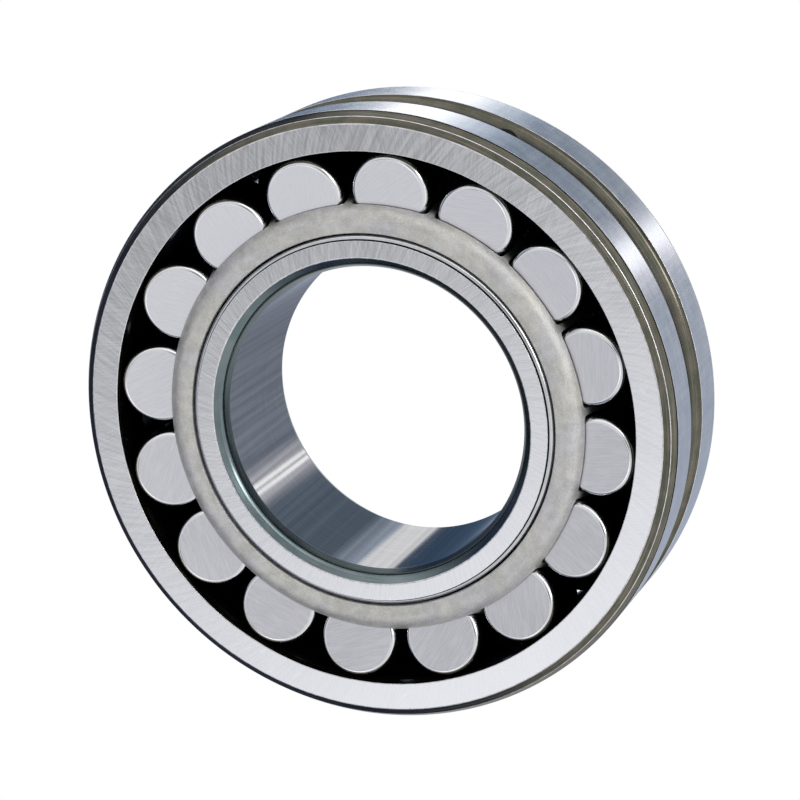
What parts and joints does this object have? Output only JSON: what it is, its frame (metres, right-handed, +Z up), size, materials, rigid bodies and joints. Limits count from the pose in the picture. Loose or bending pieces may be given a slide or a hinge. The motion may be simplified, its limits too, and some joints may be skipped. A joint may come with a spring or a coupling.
{
  "type": "spherical roller bearing",
  "caption": "Double-row self-aligning spherical roller bearing with a cylindrical bore, stamped window cages, a guide ring and a grease groove with holes in the outer ring.",
  "frame": {"origin": "centre of the bearing: on its axis, midway between the two side faces", "axes": "+Y along the bearing axis from the front face to the rear face, +Z up, +X to the right seen from the front; the bearing stands upright on its rim"},
  "size_m": [0.08, 0.023, 0.08],
  "materials": {
    "outer_ring_steel": "ground bearing steel with fine cross-grinding marks",
    "inner_ring_steel": "ground bearing steel, polished bore and corners",
    "roller_steel": "satin ground end faces and polished barrels",
    "cage_steel": "stamped and tumbled sheet steel, matte",
    "guide_ring_steel": "turned steel, satin"
  },
  "bodies": {
    "outer_ring": {"outer_ring": "outer_ring_steel"},
    "guide_ring": {"guide_ring": "guide_ring_steel"},
    "inner_ring": {"inner_ring": "inner_ring_steel"},
    "front_cage": {"front_cage": "cage_steel"},
    "rear_cage": {"rear_cage": "cage_steel"},
    "front_roller_01": {"front_roller_01": "roller_steel"},
    "front_roller_02": {"front_roller_02": "roller_steel"},
    "front_roller_03": {"front_roller_03": "roller_steel"},
    "front_roller_04": {"front_roller_04": "roller_steel"},
    "front_roller_05": {"front_roller_05": "roller_steel"},
    "front_roller_06": {"front_roller_06": "roller_steel"},
    "front_roller_07": {"front_roller_07": "roller_steel"},
    "front_roller_08": {"front_roller_08": "roller_steel"},
    "front_roller_09": {"front_roller_09": "roller_steel"},
    "front_roller_10": {"front_roller_10": "roller_steel"},
    "front_roller_11": {"front_roller_11": "roller_steel"},
    "front_roller_12": {"front_roller_12": "roller_steel"},
    "front_roller_13": {"front_roller_13": "roller_steel"},
    "front_roller_14": {"front_roller_14": "roller_steel"},
    "front_roller_15": {"front_roller_15": "roller_steel"},
    "front_roller_16": {"front_roller_16": "roller_steel"},
    "rear_roller_01": {"rear_roller_01": "roller_steel"},
    "rear_roller_02": {"rear_roller_02": "roller_steel"},
    "rear_roller_03": {"rear_roller_03": "roller_steel"},
    "rear_roller_04": {"rear_roller_04": "roller_steel"},
    "rear_roller_05": {"rear_roller_05": "roller_steel"},
    "rear_roller_06": {"rear_roller_06": "roller_steel"},
    "rear_roller_07": {"rear_roller_07": "roller_steel"},
    "rear_roller_08": {"rear_roller_08": "roller_steel"},
    "rear_roller_09": {"rear_roller_09": "roller_steel"},
    "rear_roller_10": {"rear_roller_10": "roller_steel"},
    "rear_roller_11": {"rear_roller_11": "roller_steel"},
    "rear_roller_12": {"rear_roller_12": "roller_steel"},
    "rear_roller_13": {"rear_roller_13": "roller_steel"},
    "rear_roller_14": {"rear_roller_14": "roller_steel"},
    "rear_roller_15": {"rear_roller_15": "roller_steel"},
    "rear_roller_16": {"rear_roller_16": "roller_steel"}
  },
  "joints": [
    {"name": "self_aligning_tilt", "type": "hinge", "parent": "outer_ring", "child": "guide_ring", "pos_m": [0, 0, 0], "axis": [1, 0, 0], "range_deg": [-2, 2]},
    {"name": "inner_ring_spin", "type": "hinge", "parent": "guide_ring", "child": "inner_ring", "pos_m": [0, 0, 0], "axis": [0, 1, 0], "continuous": true},
    {"name": "front_cage_orbit", "type": "hinge", "parent": "guide_ring", "child": "front_cage", "pos_m": [0, 0, 0], "axis": [0, 1, 0], "continuous": true},
    {"name": "rear_cage_orbit", "type": "hinge", "parent": "guide_ring", "child": "rear_cage", "pos_m": [0, 0, 0], "axis": [0, 1, 0], "continuous": true},
    {"name": "front_roller_01_spin", "type": "hinge", "parent": "front_cage", "child": "front_roller_01", "pos_m": [0.02885, -0.00569, 0.00988], "axis": [0.1736, 0.983, 0.0594], "continuous": true},
    {"name": "front_roller_02_spin", "type": "hinge", "parent": "front_cage", "child": "front_roller_02", "pos_m": [0.02287, -0.00569, 0.02017], "axis": [0.1376, 0.983, 0.1213], "continuous": true},
    {"name": "front_roller_03_spin", "type": "hinge", "parent": "front_cage", "child": "front_roller_03", "pos_m": [0.01341, -0.00569, 0.02738], "axis": [0.0807, 0.983, 0.1648], "continuous": true},
    {"name": "front_roller_04_spin", "type": "hinge", "parent": "front_cage", "child": "front_roller_04", "pos_m": [0.00192, -0.00569, 0.03043], "axis": [0.0115, 0.983, 0.1831], "continuous": true},
    {"name": "front_roller_05_spin", "type": "hinge", "parent": "front_cage", "child": "front_roller_05", "pos_m": [-0.00988, -0.00569, 0.02885], "axis": [-0.0594, 0.983, 0.1736], "continuous": true},
    {"name": "front_roller_06_spin", "type": "hinge", "parent": "front_cage", "child": "front_roller_06", "pos_m": [-0.02017, -0.00569, 0.02287], "axis": [-0.1213, 0.983, 0.1376], "continuous": true},
    {"name": "front_roller_07_spin", "type": "hinge", "parent": "front_cage", "child": "front_roller_07", "pos_m": [-0.02738, -0.00569, 0.01341], "axis": [-0.1648, 0.983, 0.0807], "continuous": true},
    {"name": "front_roller_08_spin", "type": "hinge", "parent": "front_cage", "child": "front_roller_08", "pos_m": [-0.03043, -0.00569, 0.00192], "axis": [-0.1831, 0.983, 0.0115], "continuous": true},
    {"name": "front_roller_09_spin", "type": "hinge", "parent": "front_cage", "child": "front_roller_09", "pos_m": [-0.02885, -0.00569, -0.00988], "axis": [-0.1736, 0.983, -0.0594], "continuous": true},
    {"name": "front_roller_10_spin", "type": "hinge", "parent": "front_cage", "child": "front_roller_10", "pos_m": [-0.02287, -0.00569, -0.02017], "axis": [-0.1376, 0.983, -0.1213], "continuous": true},
    {"name": "front_roller_11_spin", "type": "hinge", "parent": "front_cage", "child": "front_roller_11", "pos_m": [-0.01341, -0.00569, -0.02738], "axis": [-0.0807, 0.983, -0.1648], "continuous": true},
    {"name": "front_roller_12_spin", "type": "hinge", "parent": "front_cage", "child": "front_roller_12", "pos_m": [-0.00192, -0.00569, -0.03043], "axis": [-0.0115, 0.983, -0.1831], "continuous": true},
    {"name": "front_roller_13_spin", "type": "hinge", "parent": "front_cage", "child": "front_roller_13", "pos_m": [0.00988, -0.00569, -0.02885], "axis": [0.0594, 0.983, -0.1736], "continuous": true},
    {"name": "front_roller_14_spin", "type": "hinge", "parent": "front_cage", "child": "front_roller_14", "pos_m": [0.02017, -0.00569, -0.02287], "axis": [0.1213, 0.983, -0.1376], "continuous": true},
    {"name": "front_roller_15_spin", "type": "hinge", "parent": "front_cage", "child": "front_roller_15", "pos_m": [0.02738, -0.00569, -0.01341], "axis": [0.1648, 0.983, -0.0807], "continuous": true},
    {"name": "front_roller_16_spin", "type": "hinge", "parent": "front_cage", "child": "front_roller_16", "pos_m": [0.03043, -0.00569, -0.00192], "axis": [0.1831, 0.983, -0.0115], "continuous": true},
    {"name": "rear_roller_01_spin", "type": "hinge", "parent": "rear_cage", "child": "rear_roller_01", "pos_m": [0.02637, 0.00569, 0.01532], "axis": [-0.1587, 0.983, -0.0922], "continuous": true},
    {"name": "rear_roller_02_spin", "type": "hinge", "parent": "rear_cage", "child": "rear_roller_02", "pos_m": [0.0185, 0.00569, 0.02424], "axis": [-0.1113, 0.983, -0.1459], "continuous": true},
    {"name": "rear_roller_03_spin", "type": "hinge", "parent": "rear_cage", "child": "rear_roller_03", "pos_m": [0.00782, 0.00569, 0.02948], "axis": [-0.047, 0.983, -0.1774], "continuous": true},
    {"name": "rear_roller_04_spin", "type": "hinge", "parent": "rear_cage", "child": "rear_roller_04", "pos_m": [-0.00406, 0.00569, 0.03022], "axis": [0.0244, 0.983, -0.1819], "continuous": true},
    {"name": "rear_roller_05_spin", "type": "hinge", "parent": "rear_cage", "child": "rear_roller_05", "pos_m": [-0.01532, 0.00569, 0.02637], "axis": [0.0922, 0.983, -0.1587], "continuous": true},
    {"name": "rear_roller_06_spin", "type": "hinge", "parent": "rear_cage", "child": "rear_roller_06", "pos_m": [-0.02424, 0.00569, 0.0185], "axis": [0.1459, 0.983, -0.1113], "continuous": true},
    {"name": "rear_roller_07_spin", "type": "hinge", "parent": "rear_cage", "child": "rear_roller_07", "pos_m": [-0.02948, 0.00569, 0.00782], "axis": [0.1774, 0.983, -0.047], "continuous": true},
    {"name": "rear_roller_08_spin", "type": "hinge", "parent": "rear_cage", "child": "rear_roller_08", "pos_m": [-0.03022, 0.00569, -0.00406], "axis": [0.1819, 0.983, 0.0244], "continuous": true},
    {"name": "rear_roller_09_spin", "type": "hinge", "parent": "rear_cage", "child": "rear_roller_09", "pos_m": [-0.02637, 0.00569, -0.01532], "axis": [0.1587, 0.983, 0.0922], "continuous": true},
    {"name": "rear_roller_10_spin", "type": "hinge", "parent": "rear_cage", "child": "rear_roller_10", "pos_m": [-0.0185, 0.00569, -0.02424], "axis": [0.1113, 0.983, 0.1459], "continuous": true},
    {"name": "rear_roller_11_spin", "type": "hinge", "parent": "rear_cage", "child": "rear_roller_11", "pos_m": [-0.00782, 0.00569, -0.02948], "axis": [0.047, 0.983, 0.1774], "continuous": true},
    {"name": "rear_roller_12_spin", "type": "hinge", "parent": "rear_cage", "child": "rear_roller_12", "pos_m": [0.00406, 0.00569, -0.03022], "axis": [-0.0244, 0.983, 0.1819], "continuous": true},
    {"name": "rear_roller_13_spin", "type": "hinge", "parent": "rear_cage", "child": "rear_roller_13", "pos_m": [0.01532, 0.00569, -0.02637], "axis": [-0.0922, 0.983, 0.1587], "continuous": true},
    {"name": "rear_roller_14_spin", "type": "hinge", "parent": "rear_cage", "child": "rear_roller_14", "pos_m": [0.02424, 0.00569, -0.0185], "axis": [-0.1459, 0.983, 0.1113], "continuous": true},
    {"name": "rear_roller_15_spin", "type": "hinge", "parent": "rear_cage", "child": "rear_roller_15", "pos_m": [0.02948, 0.00569, -0.00782], "axis": [-0.1774, 0.983, 0.047], "continuous": true},
    {"name": "rear_roller_16_spin", "type": "hinge", "parent": "rear_cage", "child": "rear_roller_16", "pos_m": [0.03022, 0.00569, 0.00406], "axis": [-0.1819, 0.983, -0.0244], "continuous": true}
  ],
  "couplings": [
    {"joint": "front_cage_orbit", "follows": "inner_ring_spin", "ratio": 0.41457},
    {"joint": "rear_cage_orbit", "follows": "inner_ring_spin", "ratio": 0.41457},
    {"joint": "front_roller_01_spin", "follows": "inner_ring_spin", "ratio": -2.7927},
    {"joint": "front_roller_02_spin", "follows": "inner_ring_spin", "ratio": -2.7927},
    {"joint": "front_roller_03_spin", "follows": "inner_ring_spin", "ratio": -2.7927},
    {"joint": "front_roller_04_spin", "follows": "inner_ring_spin", "ratio": -2.7927},
    {"joint": "front_roller_05_spin", "follows": "inner_ring_spin", "ratio": -2.7927},
    {"joint": "front_roller_06_spin", "follows": "inner_ring_spin", "ratio": -2.7927},
    {"joint": "front_roller_07_spin", "follows": "inner_ring_spin", "ratio": -2.7927},
    {"joint": "front_roller_08_spin", "follows": "inner_ring_spin", "ratio": -2.7927},
    {"joint": "front_roller_09_spin", "follows": "inner_ring_spin", "ratio": -2.7927},
    {"joint": "front_roller_10_spin", "follows": "inner_ring_spin", "ratio": -2.7927},
    {"joint": "front_roller_11_spin", "follows": "inner_ring_spin", "ratio": -2.7927},
    {"joint": "front_roller_12_spin", "follows": "inner_ring_spin", "ratio": -2.7927},
    {"joint": "front_roller_13_spin", "follows": "inner_ring_spin", "ratio": -2.7927},
    {"joint": "front_roller_14_spin", "follows": "inner_ring_spin", "ratio": -2.7927},
    {"joint": "front_roller_15_spin", "follows": "inner_ring_spin", "ratio": -2.7927},
    {"joint": "front_roller_16_spin", "follows": "inner_ring_spin", "ratio": -2.7927},
    {"joint": "rear_roller_01_spin", "follows": "inner_ring_spin", "ratio": -2.7927},
    {"joint": "rear_roller_02_spin", "follows": "inner_ring_spin", "ratio": -2.7927},
    {"joint": "rear_roller_03_spin", "follows": "inner_ring_spin", "ratio": -2.7927},
    {"joint": "rear_roller_04_spin", "follows": "inner_ring_spin", "ratio": -2.7927},
    {"joint": "rear_roller_05_spin", "follows": "inner_ring_spin", "ratio": -2.7927},
    {"joint": "rear_roller_06_spin", "follows": "inner_ring_spin", "ratio": -2.7927},
    {"joint": "rear_roller_07_spin", "follows": "inner_ring_spin", "ratio": -2.7927},
    {"joint": "rear_roller_08_spin", "follows": "inner_ring_spin", "ratio": -2.7927},
    {"joint": "rear_roller_09_spin", "follows": "inner_ring_spin", "ratio": -2.7927},
    {"joint": "rear_roller_10_spin", "follows": "inner_ring_spin", "ratio": -2.7927},
    {"joint": "rear_roller_11_spin", "follows": "inner_ring_spin", "ratio": -2.7927},
    {"joint": "rear_roller_12_spin", "follows": "inner_ring_spin", "ratio": -2.7927},
    {"joint": "rear_roller_13_spin", "follows": "inner_ring_spin", "ratio": -2.7927},
    {"joint": "rear_roller_14_spin", "follows": "inner_ring_spin", "ratio": -2.7927},
    {"joint": "rear_roller_15_spin", "follows": "inner_ring_spin", "ratio": -2.7927},
    {"joint": "rear_roller_16_spin", "follows": "inner_ring_spin", "ratio": -2.7927}
  ]
}
